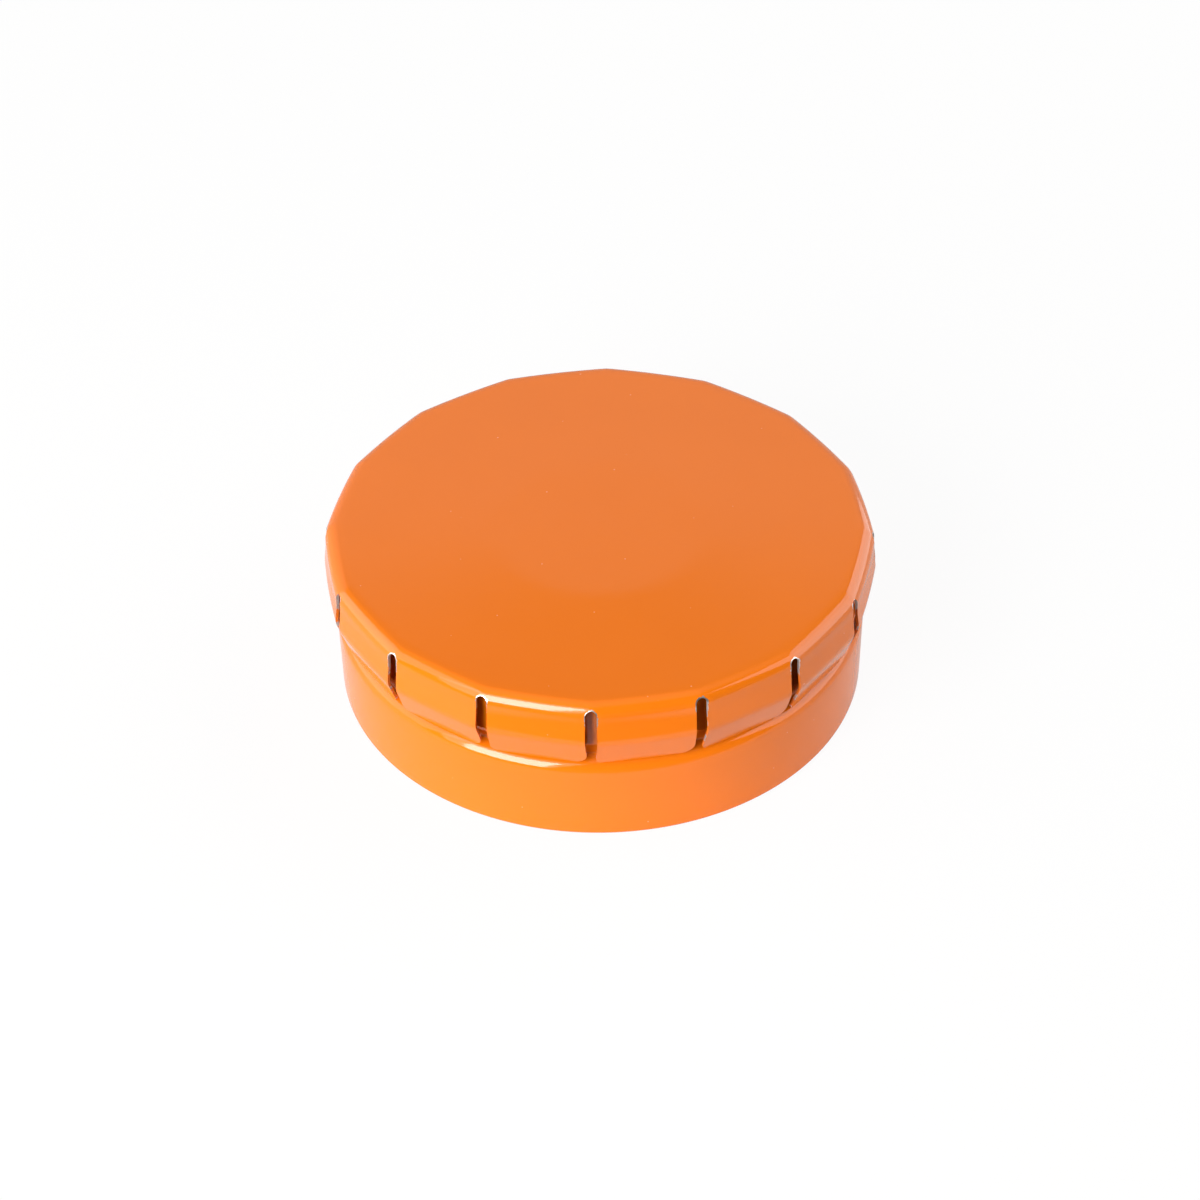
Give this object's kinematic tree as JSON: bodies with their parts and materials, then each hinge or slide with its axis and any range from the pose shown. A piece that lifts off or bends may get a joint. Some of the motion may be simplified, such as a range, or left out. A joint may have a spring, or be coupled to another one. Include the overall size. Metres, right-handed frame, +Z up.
{
  "type": "mint tin",
  "caption": "Round pocket tin with a nearly flat click lid: pressing the panel swings the lid's slotted spring skirt off the base's rim.",
  "frame": {"origin": "centre of the standing ring, on the surface that the tin stands on", "axes": "+Z up along the tin's axis; +X through one slot of the lid's skirt"},
  "size_m": [0.049, 0.049, 0.0153],
  "materials": {
    "base_lacquer": "glossy orange lacquer on tinplate",
    "lid_lacquer": "glossy orange lacquer on tinplate, bare at the cut edges"
  },
  "bodies": {
    "base": {"tin_base": "base_lacquer"},
    "lid": {"lid_rim": "lid_lacquer"},
    "panel": {"lid_panel": "lid_lacquer"},
    "finger_01": {"lid_finger_01": "lid_lacquer"},
    "finger_02": {"lid_finger_02": "lid_lacquer"},
    "finger_03": {"lid_finger_03": "lid_lacquer"},
    "finger_04": {"lid_finger_04": "lid_lacquer"},
    "finger_05": {"lid_finger_05": "lid_lacquer"},
    "finger_06": {"lid_finger_06": "lid_lacquer"},
    "finger_07": {"lid_finger_07": "lid_lacquer"},
    "finger_08": {"lid_finger_08": "lid_lacquer"},
    "finger_09": {"lid_finger_09": "lid_lacquer"},
    "finger_10": {"lid_finger_10": "lid_lacquer"},
    "finger_11": {"lid_finger_11": "lid_lacquer"},
    "finger_12": {"lid_finger_12": "lid_lacquer"},
    "finger_13": {"lid_finger_13": "lid_lacquer"},
    "finger_14": {"lid_finger_14": "lid_lacquer"},
    "finger_15": {"lid_finger_15": "lid_lacquer"},
    "finger_16": {"lid_finger_16": "lid_lacquer"}
  },
  "joints": [
    {"name": "lid_lift", "type": "slide", "parent": "base", "child": "lid", "axis": [0, 0, 1], "range_m": [0, 0.03]},
    {"name": "lid_click", "type": "slide", "parent": "lid", "child": "panel", "axis": [0, 0, 1], "range_m": [-0.0012, 0.0008]},
    {"name": "finger_01_flex", "type": "hinge", "parent": "lid", "child": "finger_01", "pos_m": [0.02362, 0.0047, 0.0138], "axis": [0.1951, -0.9808, 0], "range_deg": [-4.3, 6.4]},
    {"name": "finger_02_flex", "type": "hinge", "parent": "lid", "child": "finger_02", "pos_m": [0.02002, 0.01338, 0.0138], "axis": [0.5556, -0.8315, 0], "range_deg": [-4.3, 6.4]},
    {"name": "finger_03_flex", "type": "hinge", "parent": "lid", "child": "finger_03", "pos_m": [0.01338, 0.02002, 0.0138], "axis": [0.8315, -0.5556, 0], "range_deg": [-4.3, 6.4]},
    {"name": "finger_04_flex", "type": "hinge", "parent": "lid", "child": "finger_04", "pos_m": [0.0047, 0.02362, 0.0138], "axis": [0.9808, -0.1951, 0], "range_deg": [-4.3, 6.4]},
    {"name": "finger_05_flex", "type": "hinge", "parent": "lid", "child": "finger_05", "pos_m": [-0.0047, 0.02362, 0.0138], "axis": [0.9808, 0.1951, 0], "range_deg": [-4.3, 6.4]},
    {"name": "finger_06_flex", "type": "hinge", "parent": "lid", "child": "finger_06", "pos_m": [-0.01338, 0.02002, 0.0138], "axis": [0.8315, 0.5556, 0], "range_deg": [-4.3, 6.4]},
    {"name": "finger_07_flex", "type": "hinge", "parent": "lid", "child": "finger_07", "pos_m": [-0.02002, 0.01338, 0.0138], "axis": [0.5556, 0.8315, 0], "range_deg": [-4.3, 6.4]},
    {"name": "finger_08_flex", "type": "hinge", "parent": "lid", "child": "finger_08", "pos_m": [-0.02362, 0.0047, 0.0138], "axis": [0.1951, 0.9808, 0], "range_deg": [-4.3, 6.4]},
    {"name": "finger_09_flex", "type": "hinge", "parent": "lid", "child": "finger_09", "pos_m": [-0.02362, -0.0047, 0.0138], "axis": [-0.1951, 0.9808, 0], "range_deg": [-4.3, 6.4]},
    {"name": "finger_10_flex", "type": "hinge", "parent": "lid", "child": "finger_10", "pos_m": [-0.02002, -0.01338, 0.0138], "axis": [-0.5556, 0.8315, 0], "range_deg": [-4.3, 6.4]},
    {"name": "finger_11_flex", "type": "hinge", "parent": "lid", "child": "finger_11", "pos_m": [-0.01338, -0.02002, 0.0138], "axis": [-0.8315, 0.5556, 0], "range_deg": [-4.3, 6.4]},
    {"name": "finger_12_flex", "type": "hinge", "parent": "lid", "child": "finger_12", "pos_m": [-0.0047, -0.02362, 0.0138], "axis": [-0.9808, 0.1951, 0], "range_deg": [-4.3, 6.4]},
    {"name": "finger_13_flex", "type": "hinge", "parent": "lid", "child": "finger_13", "pos_m": [0.0047, -0.02362, 0.0138], "axis": [-0.9808, -0.1951, 0], "range_deg": [-4.3, 6.4]},
    {"name": "finger_14_flex", "type": "hinge", "parent": "lid", "child": "finger_14", "pos_m": [0.01338, -0.02002, 0.0138], "axis": [-0.8315, -0.5556, 0], "range_deg": [-4.3, 6.4]},
    {"name": "finger_15_flex", "type": "hinge", "parent": "lid", "child": "finger_15", "pos_m": [0.02002, -0.01338, 0.0138], "axis": [-0.5556, -0.8315, 0], "range_deg": [-4.3, 6.4]},
    {"name": "finger_16_flex", "type": "hinge", "parent": "lid", "child": "finger_16", "pos_m": [0.02362, -0.0047, 0.0138], "axis": [-0.1951, -0.9808, 0], "range_deg": [-4.3, 6.4]}
  ],
  "couplings": [
    {"joint": "finger_01_flex", "follows": "lid_click", "rad_per_m": -90.8},
    {"joint": "finger_02_flex", "follows": "lid_click", "rad_per_m": -90.8},
    {"joint": "finger_03_flex", "follows": "lid_click", "rad_per_m": -90.8},
    {"joint": "finger_04_flex", "follows": "lid_click", "rad_per_m": -90.8},
    {"joint": "finger_05_flex", "follows": "lid_click", "rad_per_m": -90.8},
    {"joint": "finger_06_flex", "follows": "lid_click", "rad_per_m": -90.8},
    {"joint": "finger_07_flex", "follows": "lid_click", "rad_per_m": -90.8},
    {"joint": "finger_08_flex", "follows": "lid_click", "rad_per_m": -90.8},
    {"joint": "finger_09_flex", "follows": "lid_click", "rad_per_m": -90.8},
    {"joint": "finger_10_flex", "follows": "lid_click", "rad_per_m": -90.8},
    {"joint": "finger_11_flex", "follows": "lid_click", "rad_per_m": -90.8},
    {"joint": "finger_12_flex", "follows": "lid_click", "rad_per_m": -90.8},
    {"joint": "finger_13_flex", "follows": "lid_click", "rad_per_m": -90.8},
    {"joint": "finger_14_flex", "follows": "lid_click", "rad_per_m": -90.8},
    {"joint": "finger_15_flex", "follows": "lid_click", "rad_per_m": -90.8},
    {"joint": "finger_16_flex", "follows": "lid_click", "rad_per_m": -90.8}
  ]
}
